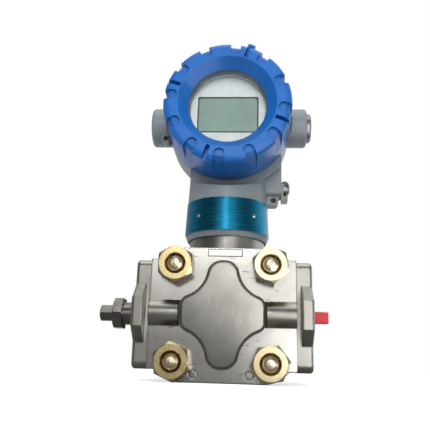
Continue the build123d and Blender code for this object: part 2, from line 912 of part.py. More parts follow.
with BuildPart() as window_retainer:
    with BuildSketch(facing(glass_back, barrel_height)):
        Circle(glass_radius)
        Circle(retainer_inner, mode=Mode.SUBTRACT)
        with PolarLocations(glass_radius, 4, start_angle=slot_angle):
            Rectangle(3.0, 2.4, mode=Mode.SUBTRACT)
    extrude(amount=-retainer_thickness)

save(window_retainer.part, "window_retainer")

# Rear cap: shallower and closed, with a dished face. It is made at the front and mirrored.
rear_face = cap_rim - rear_cap_depth
rear_inside = rear_face + rear_dish_depth + rear_cap_wall
rear_shoulder = barrel_front - rear_ring_length - cap_clearance
rear_cap_blank = turned(
    [
        (0, rear_face + rear_dish_depth),
        (rear_dish_radius, rear_face + rear_dish_depth),
        (bevel_radius, rear_face),
    ]
    + cap_outline(rear_cap_radius, rear_cap_skirt, rear_face, rear_shoulder)
    + [
        (boss_radius, rear_shoulder),
        (boss_radius - rear_cap_wall, rear_inside),
        (0, rear_inside),
    ],
    z=barrel_height,
)
barrel_middle = Plane(origin=(0, barrel_center, 0), z_dir=(0, 1, 0))
rear_cap = fluted(rear_cap_blank, rear_cap_radius, rear_cap_skirt, rear_face)
save(mirror(rear_cap, about=barrel_middle), "rear_cap")

# Seal rings that travel with the caps.
with BuildPart() as cap_seal:
    with BuildSketch(facing(seal_middle + cap_seal_section / 2, barrel_height)):
        Circle(bore + cap_seal_section)
        Circle(bore - fit_gap, mode=Mode.SUBTRACT)
    extrude(amount=cap_seal_section)

save(cap_seal.part, "front_cap_seal")
rear_cap_seal = mirror(cap_seal.part, about=barrel_middle)
save(rear_cap_seal, "rear_cap_seal")

# Display: a faceplate with its opening, the panel, the board and the electronics behind.
board_front = display_front + bezel_thickness
board_back = board_front + board_thickness
module_front = partition_front - module_depth
with BuildPart() as display_bezel:
    with BuildSketch(facing(display_front)):
        with Locations((0, barrel_height)):
            Circle(bezel_radius)
        with Locations((0, lcd_center)):
            Rectangle(lcd_width, lcd_height, mode=Mode.SUBTRACT)
    extrude(amount=-bezel_thickness)

save(display_bezel.part, "display_bezel")

with BuildPart() as lcd_panel:
    with BuildSketch(facing(display_front + lcd_gap)):
        with Locations((0, lcd_center)):
            Rectangle(lcd_width - 2 * fit_gap, lcd_height - 2 * fit_gap)
    extrude(amount=lcd_gap - bezel_thickness)

save(lcd_panel.part, "lcd_panel")

with BuildPart() as display_board:
    with BuildSketch(facing(board_front, barrel_height)):
        Circle(board_radius)
    extrude(amount=-board_thickness)

save(display_board.part, "display_board")

with BuildPart() as display_standoffs:
    with BuildSketch(facing(board_back, barrel_height)):
        with PolarLocations(standoff_circle, 3, start_angle=90):
            Circle(standoff_radius)
    extrude(amount=board_back - module_front)

save(display_standoffs.part, "display_standoffs")

with BuildPart() as electronics_module:
    with BuildSketch(facing(module_front, barrel_height)):
        Circle(module_radius)
    extrude(amount=-module_depth)
    fillet(electronics_module.edges().group_by(Axis.Y)[0], 1.5)

save(electronics_module.part, "electronics_module")

# Terminal block in the rear compartment, with barriers between its screws.
plate_back = partition_back + terminal_plate_thickness
block_back = plate_back + terminal_block_depth
with BuildPart() as terminal_block:
    with BuildSketch(facing(plate_back, barrel_height)):
        Circle(terminal_plate_radius)
    extrude(amount=terminal_plate_thickness)
    with BuildSketch(facing(block_back, barrel_height)):
        Rectangle(terminal_block_width, terminal_block_height)
    extrude(amount=terminal_block_depth)
    with BuildSketch(facing(block_back + terminal_screw_height, barrel_height)):
        with GridLocations(terminal_pitch, 0, terminal_count + 1, 1):
            Rectangle(barrier_thickness, terminal_block_height)
    extrude(amount=terminal_screw_height)

save(terminal_block.part, "terminal_block")

with BuildPart() as terminal_screws:
    with BuildSketch(facing(block_back + terminal_screw_height, barrel_height)):
        with GridLocations(terminal_pitch, 0, terminal_count, 1):
            Circle(terminal_screw_radius)
    extrude(amount=terminal_screw_height)
    with BuildSketch(facing(block_back + terminal_screw_height, barrel_height)):
        with GridLocations(terminal_pitch, 0, terminal_count, 1):
            Rectangle(2 * terminal_screw_radius, 0.9)
    extrude(amount=terminal_screw_height / 2, mode=Mode.SUBTRACT)

save(terminal_screws.part, "terminal_screws")

# Blanking plug in the right conduit entry.
with BuildPart() as conduit_plug:
    add(
        turned(
            [
                (0, conduit_reach - plug_thread_length),
                (conduit_bore - fit_gap, conduit_reach - plug_thread_length),
                (conduit_bore - fit_gap, conduit_reach),
                (plug_head_radius, conduit_reach),
                (plug_head_radius, conduit_reach + plug_head_height - 1),
                (plug_head_radius - 1, conduit_reach + plug_head_height),
                (0, conduit_reach + plug_head_height),
            ],
            y=conduit_center,
            z=barrel_height,
            along="X",
        )
    )
    with BuildSketch(sideways(conduit_reach + plug_head_height, conduit_center, barrel_height)):
        RegularPolygon(plug_socket_flats / 2, 6, major_radius=False)
    extrude(amount=-plug_socket_depth, mode=Mode.SUBTRACT)

save(conduit_plug.part, "conduit_plug")

# Thin nameplate wrapped round the front of the neck, with two rivets.
neck_taper = (housing_neck_radius - housing_neck_top_radius) / (
    barrel_bottom - housing_neck_bottom - neck_rim_height
)


def neck_radius(height):
    return housing_neck_radius - neck_taper * (height - housing_neck_bottom - neck_rim_height)


plate_top = plate_bottom + plate_height
plate_start = radians(270 - plate_left)
with BuildPart() as nameplate:
    edge = Plane(
        origin=(0, 0, 0),
        x_dir=(cos(plate_start), sin(plate_start), 0),
        z_dir=(sin(plate_start), -cos(plate_start), 0),
    )
    with BuildSketch(edge):
        with BuildLine():
            Polyline(
                (neck_radius(plate_bottom), plate_bottom),
                (neck_radius(plate_bottom) + plate_thickness, plate_bottom),
                (neck_radius(plate_top) + plate_thickness, plate_top),
                (neck_radius(plate_top), plate_top),
                close=True,
            )
        make_face()
    revolve(axis=Axis.Z, revolution_arc=plate_left + plate_right)

save(nameplate.part, "nameplate")

rivet_height_place = (plate_bottom + plate_top) / 2 - 0.7
with BuildPart() as nameplate_rivets:
    for turn in (270 - rivet_angle, 270 + rivet_angle):
        out = (cos(radians(turn)), sin(radians(turn)), 0)
        seat = neck_radius(rivet_height_place) + plate_thickness + fit_gap
        place = (seat * out[0], seat * out[1], rivet_height_place)
        with BuildSketch(Plane(origin=place, x_dir=(0, 0, 1), z_dir=out)):
            Circle(rivet_radius)
        extrude(amount=rivet_height)

save(nameplate_rivets.part, "nameplate_rivets")

# Ground screw with its square clamp on the side boss.
clamp_face = side_boss_reach + clamp_thickness
with BuildPart() as ground_clamp:
    with BuildSketch(sideways(side_boss_reach, side_boss_center, ground_height)):
        with Locations((0, clamp_drop)):
            RectangleRounded(clamp_width, clamp_height, 1.5)
        Circle(ground_screw_radius + fit_gap, mode=Mode.SUBTRACT)
    extrude(amount=clamp_thickness)
    with BuildSketch(sideways(side_boss_reach, side_boss_center, ground_height)):
        with Locations((0, clamp_drop - (clamp_height - clamp_lip_height) / 2)):
            Rectangle(clamp_width, clamp_lip_height)
    extrude(amount=clamp_lip)

save(ground_clamp.part, "ground_clamp")

with BuildPart() as ground_screw:
    add(
        turned(
            [
                (0, side_boss_reach - ground_screw_length + 0.5),
                (ground_screw_radius, side_boss_reach - ground_screw_length + 0.5),
                (ground_screw_radius, clamp_face),
                (ground_head_radius, clamp_face),
                (ground_head_radius, clamp_face + ground_head_height * 0.45),
                (ground_head_radius * 0.9, clamp_face + ground_head_height * 0.75),
                (ground_head_radius * 0.6, clamp_face + ground_head_height),
                (0, clamp_face + ground_head_height),
            ],
            y=side_boss_center,
            z=ground_height,
            along="X",
        )
    )
    with BuildSketch(sideways(clamp_face + ground_head_height, side_boss_center, ground_height)):
        Rectangle(2 * ground_head_radius + 1, ground_slot_width)
    extrude(amount=-ground_slot_depth, mode=Mode.SUBTRACT)

save(ground_screw.part, "ground_screw")


def set_screw(x, y, z, side):
    # A headless screw along Y with a hexagon socket; side is -1 when it faces the front.
    with BuildPart() as screw:
        with BuildSketch(facing(y, z)):
            with Locations((x, 0)):
                Circle(set_screw_radius)
        extrude(amount=side * (set_screw_length - 0.3))
        with BuildSketch(facing(y, z)):
            with Locations((x, 0)):
                RegularPolygon(set_screw_socket / 2, 6, major_radius=False)
        extrude(amount=side * set_screw_socket, mode=Mode.SUBTRACT)
    return screw.part


lock_x = lock_lug_reach - lock_lug_screw
lock_z = lock_lug_bottom + lock_lug_height / 2
save(set_screw(front_lug[0], front_lug_face, front_lug[1], -1), "cap_lock_screw_front")
save(set_screw(rear_lug[0], barrel_rear, rear_lug[1], 1), "cap_lock_screw_rear")
save(set_screw(lock_x, -lock_lug_depth / 2, lock_z, -1), "neck_lock_screw")
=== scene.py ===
import bpy
import numpy as np
from mathutils import Matrix, Vector


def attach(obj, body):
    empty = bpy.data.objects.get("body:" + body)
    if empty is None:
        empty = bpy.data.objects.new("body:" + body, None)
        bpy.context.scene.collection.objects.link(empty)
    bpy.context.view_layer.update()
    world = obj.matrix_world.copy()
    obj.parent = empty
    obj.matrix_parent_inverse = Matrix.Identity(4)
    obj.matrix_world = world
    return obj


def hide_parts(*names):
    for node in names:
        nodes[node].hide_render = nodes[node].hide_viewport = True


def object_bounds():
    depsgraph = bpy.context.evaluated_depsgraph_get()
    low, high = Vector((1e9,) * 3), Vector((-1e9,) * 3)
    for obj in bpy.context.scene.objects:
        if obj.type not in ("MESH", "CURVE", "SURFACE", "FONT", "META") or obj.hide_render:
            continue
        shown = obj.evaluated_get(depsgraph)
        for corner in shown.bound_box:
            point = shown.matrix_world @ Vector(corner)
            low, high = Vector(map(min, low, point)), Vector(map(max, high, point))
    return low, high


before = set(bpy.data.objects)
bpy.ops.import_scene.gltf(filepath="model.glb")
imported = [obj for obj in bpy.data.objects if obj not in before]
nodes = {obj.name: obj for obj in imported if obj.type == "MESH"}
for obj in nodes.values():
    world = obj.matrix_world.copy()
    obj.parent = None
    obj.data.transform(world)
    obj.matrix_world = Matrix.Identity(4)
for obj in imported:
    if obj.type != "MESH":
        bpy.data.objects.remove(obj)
cadLow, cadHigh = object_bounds()
millimetre = 0.001


# Colours and nodes

noiseBand = (0.3, 0.7)      # most of a noise lies between these values


def linearColour(hexText):
    # sRGB hex text to the linear values that shaders take, with full alpha
    values = np.array([int(hexText[i:i + 2], 16) / 255 for i in (1, 3, 5)])
    values = np.where(values <= 0.04045, values / 12.92, ((values + 0.055) / 1.055) ** 2.4)
    return (*values.tolist(), 1.0)


def addNode(tree, kind, inputs=None, **settings):
    # one shader node with its settings; an input, by name or number, takes a value, a socket or a node
    node = tree.nodes.new(kind)
    for name, value in settings.items():
        setattr(node, name, value)
    for key, value in (inputs or {}).items():
        named = [socket for socket in node.inputs if socket.enabled and socket.name == key]
        socket = named[0] if named else node.inputs[key]
        if isinstance(value, bpy.types.Node):
            value = [result for result in value.outputs if result.enabled][0]
        if isinstance(value, bpy.types.NodeSocket):
            tree.links.new(value, socket)
        else:
            socket.default_value = value
    return node


def newMaterial(name):
    material = bpy.data.materials.new(name)
    material.use_nodes = True
    material.node_tree.nodes.clear()
    return material, material.node_tree


def scaleFor(size):
    # noise scale for a pattern whose features are this many millimetres
    return 1 / (size * millimetre)


# Finishes

castSteel = {
    "blasted": "#C2C0B8", "blastedDark": "#B2AFA7", "ground": "#DEDBD5", "groundDark": "#D0CDC6",
    "blastedRoughness": (0.28, 0.34), "groundRoughness": (0.18, 0.21), "softness": 1.1,
    "facePlane": 40.0, "plateauFace": 40.9, "faceTolerance": 0.08, "portHeight": 38.0,
    "mottle": 16.0, "mottleBand": (0.35, 0.65), "scratch": 0.5, "scratchLength": 14,
    "grit": 0.55, "gritDepth": 0.02, "gritStrength": 0.6, "gritOnGround": 0.15,
    "grooveShade": "#57544B", "grooveBox": (25.2, 31.3),
    "nick": "#8F8C85", "nickSize": 2.6, "nickShape": (2.4, 1, 0.7), "nickBand": (0.69, 0.74), "nickMost": 0.6,
    "scuff": "#D9D7CF", "scuffSize": 1.1, "scuffLength": 9, "scuffBand": (0.57, 0.72), "scuffMost": 0.75,
    "scuffReach": (9.0, 21.0), "crown": 1.6, "crownAt": (4.5, 45.5),
}


def castSteelMaterial():
    # Investment-cast stainless steel, bead blasted all over: a soft grey sheen with a fine grain.
    # The flat faces round the nuts are ground after casting, so they are paler and shinier.
    # Painted shade darkens the plateau's walls round its foot, and the plateau has light upright scuffs.
    s = castSteel
    material, tree = newMaterial("blastedCastStainless")
    place = addNode(tree, "ShaderNodeTexCoord").outputs["Object"]
    port = (0, 0, s["portHeight"] * millimetre)
    offPort = addNode(tree, "ShaderNodeVectorMath", {0: place, 1: port}, operation="SUBTRACT")
    folded = addNode(tree, "ShaderNodeVectorMath", {0: offPort}, operation="ABSOLUTE")
    folded = addNode(tree, "ShaderNodeSeparateXYZ", {"Vector": folded})
    onFace = {}
    for name in ("facePlane", "plateauFace"):
        onFace[name] = addNode(tree, "ShaderNodeMath", {
            0: folded.outputs["Y"], 1: s[name] * millimetre, 2: s["faceTolerance"] * millimetre},
            operation="COMPARE")
    ground = onFace["facePlane"]

    # 1 in a box round the plateau, then on the plateau's top, and on what the box holds off both flat faces
    boxed = 1.0
    for axis, limit, operation in (
            ("Y", s["facePlane"] - 1, "GREATER_THAN"),
            ("X", s["grooveBox"][0], "LESS_THAN"), ("Z", s["grooveBox"][1], "LESS_THAN")):
        side = addNode(tree, "ShaderNodeMath", {
            0: folded.outputs[axis], 1: limit * millimetre}, operation=operation)
        boxed = addNode(tree, "ShaderNodeMath", {0: boxed, 1: side}, operation="MULTIPLY")
    onPlateau = addNode(tree, "ShaderNodeMath", {0: boxed, 1: onFace["plateauFace"]}, operation="MULTIPLY")
    flat = addNode(tree, "ShaderNodeMath", {0: ground, 1: onFace["plateauFace"]}, operation="MAXIMUM")
    walls = addNode(tree, "ShaderNodeMath", {0: 1.0, 1: flat}, operation="SUBTRACT")
    # painted shade: the plateau's walls within the box are darkened
    grooveWallShade = addNode(tree, "ShaderNodeMath", {0: boxed, 1: walls}, operation="MULTIPLY")

    # distance across the face from the plateau's middle, and from the point where it is highest
    level = addNode(tree, "ShaderNodeVectorMath", {0: offPort, 1: (1, 0, 1)}, operation="MULTIPLY")
    highest = (s["crownAt"][0] * millimetre, 0, (s["crownAt"][1] - s["portHeight"]) * millimetre)
    fromMiddle = addNode(tree, "ShaderNodeVectorMath", {0: level}, operation="LENGTH")
    fromHighest = addNode(tree, "ShaderNodeVectorMath", {0: level, 1: highest}, operation="DISTANCE")

    patterns = {}
    for name, size, detail, stretch in (
            ("mottle", s["mottle"], 2, (1, 1, 1)), ("grain", s["grit"], 2, (1, 1, 1)),
            ("scratches", s["scratch"], 2, (1, 1, s["scratchLength"])),
            ("streaks", s["scuffSize"], 2, (1, 1, s["scuffLength"])),
            ("nicks", s["nickSize"], 1, s["nickShape"])):
        drawn = addNode(tree, "ShaderNodeMapping", {
            "Vector": place, "Scale": [1 / length for length in stretch]})
        patterns[name] = addNode(tree, "ShaderNodeTexNoise", {
            "Vector": drawn, "Scale": scaleFor(size), "Detail": detail})
    near, far = (reach * millimetre for reach in s["scuffReach"])
    ramps = {}
    for name, value, low, high, start, end in (
            ("mottle", patterns["mottle"], *s["mottleBand"], 0, 1),
            ("streaks", patterns["streaks"], *s["scuffBand"], 0, s["scuffMost"]),
            ("near", fromMiddle, near, far, 1, 0),
            ("nicks", patterns["nicks"], *s["nickBand"], 0, s["nickMost"]),
            ("blastedRough", patterns["grain"], *noiseBand, *s["blastedRoughness"]),
            ("groundRough", patterns["scratches"], *noiseBand, *s["groundRoughness"])):
        ramps[name] = addNode(tree, "ShaderNodeMapRange", {
            "Value": value, "From Min": low, "From Max": high, "To Min": start, "To Max": end})

    colours = []
    for plain, dark in (("blasted", "blastedDark"), ("ground", "groundDark")):
        colours.append(addNode(tree, "ShaderNodeMix", {
            "Factor": ramps["mottle"], "A": linearColour(s[plain]), "B": linearColour(s[dark])},
            data_type="RGBA"))
    colour = addNode(tree, "ShaderNodeMix", {
        "Factor": ground, "A": colours[0], "B": colours[1]}, data_type="RGBA")
    # scuffs near the plateau's middle, short nicks from spanners on the ground face, and painted shade on the
    # plateau's walls
    scuffed = addNode(tree, "ShaderNodeMath", {0: ramps["streaks"], 1: ramps["near"]}, operation="MULTIPLY")
    scuffed = addNode(tree, "ShaderNodeMath", {0: scuffed, 1: onPlateau}, operation="MULTIPLY")
    nicked = addNode(tree, "ShaderNodeMath", {0: ramps["nicks"], 1: ground}, operation="MULTIPLY")
    for mask, name in ((scuffed, "scuff"), (nicked, "nick"), (grooveWallShade, "grooveShade")):
        colour = addNode(tree, "ShaderNodeMix", {
            "Factor": mask, "A": colour, "B": linearColour(s[name])}, data_type="RGBA")
    rough = addNode(tree, "ShaderNodeMix", {
        "Factor": ground, "A": ramps["blastedRough"], "B": ramps["groundRough"]})

    # the plateau is crowned: its height falls with the square of the distance from its highest point
    squared = addNode(tree, "ShaderNodeMath", {0: fromHighest, 1: fromHighest}, operation="MULTIPLY")
    lowered = addNode(tree, "ShaderNodeMath", {0: squared, 1: -s["crown"]}, operation="MULTIPLY")
    crown = addNode(tree, "ShaderNodeMath", {0: lowered, 1: onPlateau}, operation="MULTIPLY")
    rounded = addNode(tree, "ShaderNodeBevel", {"Radius": s["softness"] * millimetre}, samples=6)
    crowned = addNode(tree, "ShaderNodeBump", {
        "Height": crown, "Distance": 1.0, "Strength": 1.0, "Normal": rounded})
    # grinding leaves only a part of the grit
    left = addNode(tree, "ShaderNodeMath", {
        0: ground, 1: s["gritOnGround"] - 1, 2: 1.0}, operation="MULTIPLY_ADD")
    grit = addNode(tree, "ShaderNodeMath", {0: patterns["grain"], 1: left}, operation="MULTIPLY")
    gritty = addNode(tree, "ShaderNodeBump", {
        "Height": grit, "Distance": s["gritDepth"] * millimetre, "Strength": s["gritStrength"],
        "Normal": crowned})
    steel = addNode(tree, "ShaderNodeBsdfPrincipled", {
        "Base Color": colour, "Metallic": 1.0, "Roughness": rough, "Normal": gritty})
    addNode(tree, "ShaderNodeOutputMaterial", {"Surface": steel})
    return material


latheWork = {"stainSize": 6.0, "stainBand": (0.35, 0.7), "patchSize": 2.0, "ringStrength": 0.5}


def turnedMetal(name, colour, dark, roughness, ringAxis, pitch, depth):
    # Metal off a lathe: fine rings round its axis, which draw the highlight out across them,
    # faint stains, and patches that are a little rougher.
    s = latheWork
    material, tree = newMaterial(name)
    place = addNode(tree, "ShaderNodeTexCoord").outputs["Object"]
    axes = addNode(tree, "ShaderNodeSeparateXYZ", {"Vector": place})
    angle = addNode(tree, "ShaderNodeMath", {
        0: axes.outputs[ringAxis], 1: 2 * np.pi / (pitch * millimetre)}, operation="MULTIPLY")
    rings = addNode(tree, "ShaderNodeMath", {0: angle}, operation="SINE")
    ramps = {}
    for kind, size, detail, low, high, start, end in (
            ("stain", s["stainSize"], 4, *s["stainBand"], 0, 1),
            ("rough", s["patchSize"], 3, *noiseBand, *roughness)):
        noise = addNode(tree, "ShaderNodeTexNoise", {
            "Vector": place, "Scale": scaleFor(size), "Detail": detail})
        ramps[kind] = addNode(tree, "ShaderNodeMapRange", {
            "Value": noise, "From Min": low, "From Max": high, "To Min": start, "To Max": end})
    tint = addNode(tree, "ShaderNodeMix", {
        "Factor": ramps["stain"], "A": linearColour(colour), "B": linearColour(dark)}, data_type="RGBA")
    ringed = addNode(tree, "ShaderNodeBump", {
        "Height": rings, "Distance": depth * millimetre, "Strength": s["ringStrength"]})
    metal = addNode(tree, "ShaderNodeBsdfPrincipled", {
        "Base Color": tint, "Metallic": 1.0, "Roughness": ramps["rough"], "Normal": ringed})
    addNode(tree, "ShaderNodeOutputMaterial", {"Surface": metal})
    return material


yellowZinc = {
    "gold": "#FAE2AA", "pale": "#FFF3CF", "olive": "#F0DAA2", "edge": "#5E4B28",
    "ring": "#C2B08C", "tip": "#FFF2D6", "roughness": (0.24, 0.31), "speckle": 3.0,
    "clouds": 5.0, "cloudReach": 6.0, "upward": 0.5, "paintedLightSpread": (-44.0, -8.0, 30.0),
    "boltAxis": 27.0, "portHeight": 38.0, "threadShadeBand": (4.3, 5.9), "threadShadeFade": (0.25, 0.4), "threadShadeMost": 0.9,
    "tipFade": 0.3, "tipMost": 0.7, "sideShadeBand": (0.35, 0.75), "sideShadeMost": 0.85,
}


def yellowZincMaterial():
    # Zinc plating with yellow passivation: gold that differs from nut to nut, from straw to olive, in part
    # painted light that is paler towards the upper right, with painted shade in brown on the sides of the
    # hexagons and round the ends of the threads.
    s = yellowZinc
    material, tree = newMaterial("yellowPassivatedZinc")
    place = addNode(tree, "ShaderNodeTexCoord")
    port = (0, 0, s["portHeight"] * millimetre)
    offPort = addNode(tree, "ShaderNodeVectorMath", {
        0: place.outputs["Object"], 1: port}, operation="SUBTRACT")

    # painted light: how far a spot lies towards the upper right, where the light falls, with clouds added, sets
    # its tone between olive and pale
    across = addNode(tree, "ShaderNodeVectorMath", {
        0: offPort, 1: (1, 0, s["upward"])}, operation="DOT_PRODUCT")
    noises = {}
    for name, size, detail in (("clouds", s["clouds"], 2), ("speckle", s["speckle"], 1)):
        noises[name] = addNode(tree, "ShaderNodeTexNoise", {
            "Vector": place.outputs["Object"], "Scale": scaleFor(size), "Detail": detail})
    reach = s["cloudReach"] * millimetre
    clouds = addNode(tree, "ShaderNodeMapRange", {
        "Value": noises["clouds"], "From Min": noiseBand[0], "From Max": noiseBand[1],
        "To Min": -reach, "To Max": reach})
    paintedLightSpread = addNode(tree, "ShaderNodeMath", {0: across, 1: clouds}, operation="ADD")
    facing = addNode(tree, "ShaderNodeSeparateXYZ", {"Vector": place.outputs["Normal"]})
    endwise = addNode(tree, "ShaderNodeMath", {0: facing.outputs["Y"]}, operation="ABSOLUTE")

    # distance from the nearest bolt's axis: the four axes fold onto one
    flat = addNode(tree, "ShaderNodeVectorMath", {0: offPort, 1: (1, 0, 1)}, operation="MULTIPLY")
    folded = addNode(tree, "ShaderNodeVectorMath", {0: flat}, operation="ABSOLUTE")
    axis = (s["boltAxis"] * millimetre, 0, s["boltAxis"] * millimetre)
    fromAxis = addNode(tree, "ShaderNodeVectorMath", {0: folded, 1: axis}, operation="DISTANCE")

    low, middle, high = (value * millimetre for value in s["paintedLightSpread"])
    inside, outside = (value * millimetre for value in s["threadShadeBand"])
    fadeIn, fadeOut = (value * millimetre for value in s["threadShadeFade"])
    ramps = {}
    for name, value, first, last, start, end in (
            ("gold", paintedLightSpread, low, middle, 0, 1), ("pale", paintedLightSpread, middle, high, 0, 1),
            # painted shade: faces that do not look along Y, the sides of the hexagons, darken to brown
            ("edge", endwise, *s["sideShadeBand"], s["sideShadeMost"], 0),
            # painted shade in the gap between each bolt's end and the mouth of its nut
            ("threadShadeStart", fromAxis, inside, inside + fadeIn, 0, s["threadShadeMost"]),
            ("threadShadeEnd", fromAxis, outside - fadeOut, outside, 1, 0),
            ("tip", fromAxis, inside - s["tipFade"] * millimetre, inside, s["tipMost"], 0),
            ("rough", noises["speckle"], *noiseBand, *s["roughness"])):
        ramps[name] = addNode(tree, "ShaderNodeMapRange", {
            "Value": value, "From Min": first, "From Max": last, "To Min": start, "To Max": end})
    ramps["ring"] = addNode(tree, "ShaderNodeMath", {
        0: ramps["threadShadeStart"], 1: ramps["threadShadeEnd"]}, operation="MULTIPLY")
    colour = linearColour(s["olive"])
    for name in ("gold", "pale", "edge", "ring", "tip"):
        colour = addNode(tree, "ShaderNodeMix", {
            "Factor": ramps[name], "A": colour, "B": linearColour(s[name])}, data_type="RGBA")
    zinc = addNode(tree, "ShaderNodeBsdfPrincipled", {
        "Base Color": colour, "Metallic": 1.0, "Roughness": ramps["rough"]})
    addNode(tree, "ShaderNodeOutputMaterial", {"Surface": zinc})
    return material


powderPaint = {
    "peel": 1.4, "peelDepth": 0.012, "peelStrength": 0.6, "finer": 5, "shade": 14.0, "roughnessSpread": 0.08,
}


def powderCoat(name, colour, worn, roughness, coat, softness):
    # Baked powder coat on cast aluminium: even colour, a faint orange peel and a soft gloss.
    s = powderPaint
    material, tree = newMaterial(name)
    place = addNode(tree, "ShaderNodeTexCoord").outputs["Object"]
    noises = {}
    for pattern, size, detail in (
            ("waves", s["peel"], 1), ("fine", s["peel"] / s["finer"], 2), ("shade", s["shade"], 3)):
        noises[pattern] = addNode(tree, "ShaderNodeTexNoise", {
            "Vector": place, "Scale": scaleFor(size), "Detail": detail})
    shade = addNode(tree, "ShaderNodeMapRange", {
        "Value": noises["shade"], "From Min": noiseBand[0], "From Max": noiseBand[1]})
    tint = addNode(tree, "ShaderNodeMix", {
        "Factor": shade, "A": linearColour(colour), "B": linearColour(worn)}, data_type="RGBA")
    rough = addNode(tree, "ShaderNodeMapRange", {
        "Value": noises["fine"], "From Min": noiseBand[0], "From Max": noiseBand[1],
        "To Min": roughness, "To Max": roughness + s["roughnessSpread"]})
    rounded = addNode(tree, "ShaderNodeBevel", {"Radius": softness * millimetre}, samples=6)
    peeled = addNode(tree, "ShaderNodeBump", {
        "Height": noises["waves"], "Distance": s["peelDepth"] * millimetre, "Strength": s["peelStrength"],
        "Normal": rounded})
    paint = addNode(tree, "ShaderNodeBsdfPrincipled", {
        "Base Color": tint, "Roughness": rough, "Normal": peeled,
        "Coat Weight": coat[0], "Coat Roughness": coat[1]})
    addNode(tree, "ShaderNodeOutputMaterial", {"Surface": paint})
    return material


namePlate = {
    "blue": "#38AED2", "deep": "#0C6796", "roughness": (0.24, 0.36), "radius": 27.5,
    "brushPitch": 0.28, "brushLength": 14.0, "brushDepth": 0.012, "brushStrength": 0.5, "brushRoughness": 0.6,
}


def namePlateMaterial():
    # Brushed aluminium sheet, dyed blue by anodising: fine lines run round the neck.
    s = namePlate
    material, tree = newMaterial("blueAnodisedBrushedAluminium")
    place = addNode(tree, "ShaderNodeTexCoord").outputs["Object"]
    axes = addNode(tree, "ShaderNodeSeparateXYZ", {"Vector": place})
    forward = addNode(tree, "ShaderNodeMath", {0: axes.outputs["Y"], 1: -1.0}, operation="MULTIPLY")
    turn = addNode(tree, "ShaderNodeMath", {0: axes.outputs["X"], 1: forward}, operation="ARCTAN2")
    arc = addNode(tree, "ShaderNodeMath", {0: turn, 1: s["radius"] / s["brushLength"]}, operation="MULTIPLY")
    rows = addNode(tree, "ShaderNodeMath", {
        0: axes.outputs["Z"], 1: scaleFor(s["brushPitch"])}, operation="MULTIPLY")
    unrolled = addNode(tree, "ShaderNodeCombineXYZ", {"X": arc, "Y": rows})
    brush = addNode(tree, "ShaderNodeTexNoise", {
        "Vector": unrolled, "Scale": 1.0, "Detail": 3.0, "Roughness": s["brushRoughness"]})
    shade = addNode(tree, "ShaderNodeMapRange", {
        "Value": brush, "From Min": noiseBand[0], "From Max": noiseBand[1]})
    tint = addNode(tree, "ShaderNodeMix", {
        "Factor": shade, "A": linearColour(s["deep"]), "B": linearColour(s["blue"])}, data_type="RGBA")
    rough = addNode(tree, "ShaderNodeMapRange", {
        "Value": brush, "From Min": noiseBand[0], "From Max": noiseBand[1],
        "To Min": s["roughness"][0], "To Max": s["roughness"][1]})
    brushed = addNode(tree, "ShaderNodeBump", {
        "Height": brush, "Distance": s["brushDepth"] * millimetre, "Strength": s["brushStrength"]})
    plate = addNode(tree, "ShaderNodeBsdfPrincipled", {
        "Base Color": tint, "Metallic": 1.0, "Roughness": rough, "Normal": brushed})
    addNode(tree, "ShaderNodeOutputMaterial", {"Surface": plate})
    return material


moulding = {"mottleSize": 14, "mottleMost": 0.6, "darker": 0.82, "roughnessSpread": 0.05, "grainStrength": 0.5}


def plainPlastic(name, colour, roughness, grain, depth, inputs=None):
    # Moulded plastic or rubber: one colour, a faint mottle and the fine grain of its mould.
    s = moulding
    material, tree = newMaterial(name)
    place = addNode(tree, "ShaderNodeTexCoord").outputs["Object"]
    noises = []
    for size, detail in ((grain, 2), (grain * s["mottleSize"], 3)):
        noises.append(addNode(tree, "ShaderNodeTexNoise", {
            "Vector": place, "Scale": scaleFor(size), "Detail": detail}))
    fine, coarse = noises
    mottle = addNode(tree, "ShaderNodeMapRange", {
        "Value": coarse, "From Min": noiseBand[0], "From Max": noiseBand[1], "To Max": s["mottleMost"]})
    base = linearColour(colour)
    darker = (*(s["darker"] * value for value in base[:3]), 1.0)
    tint = addNode(tree, "ShaderNodeMix", {"Factor": mottle, "A": base, "B": darker}, data_type="RGBA")
    rough = addNode(tree, "ShaderNodeMapRange", {
        "Value": fine, "From Min": noiseBand[0], "From Max": noiseBand[1],
        "To Min": roughness - s["roughnessSpread"], "To Max": roughness + s["roughnessSpread"]})
    grained = addNode(tree, "ShaderNodeBump", {
        "Height": fine, "Distance": depth * millimetre, "Strength": s["grainStrength"]})
    plastic = addNode(tree, "ShaderNodeBsdfPrincipled", {
        "Base Color": tint, "Roughness": rough, "Normal": grained, **(inputs or {})})
    addNode(tree, "ShaderNodeOutputMaterial", {"Surface": plastic})
    return material


window = {"tint": "#FDFEFE", "roughness": 0.02, "refraction": 1.5}


def windowMaterial():
    # Clear float glass: nearly invisible, with a mirror-like film of reflection that grows at the rim.
    s = window
    material, tree = newMaterial("clearFloatGlass")
    clear = addNode(tree, "ShaderNodeBsdfTransparent", {"Color": linearColour(s["tint"])})
    shine = addNode(tree, "ShaderNodeBsdfGlossy", {"Color": (1, 1, 1, 1), "Roughness": s["roughness"]})
    edge = addNode(tree, "ShaderNodeFresnel", {"IOR": s["refraction"]})
    glass = addNode(tree, "ShaderNodeMixShader", {0: edge, 1: clear, 2: shine})
    addNode(tree, "ShaderNodeOutputMaterial", {"Surface": glass})
    return material


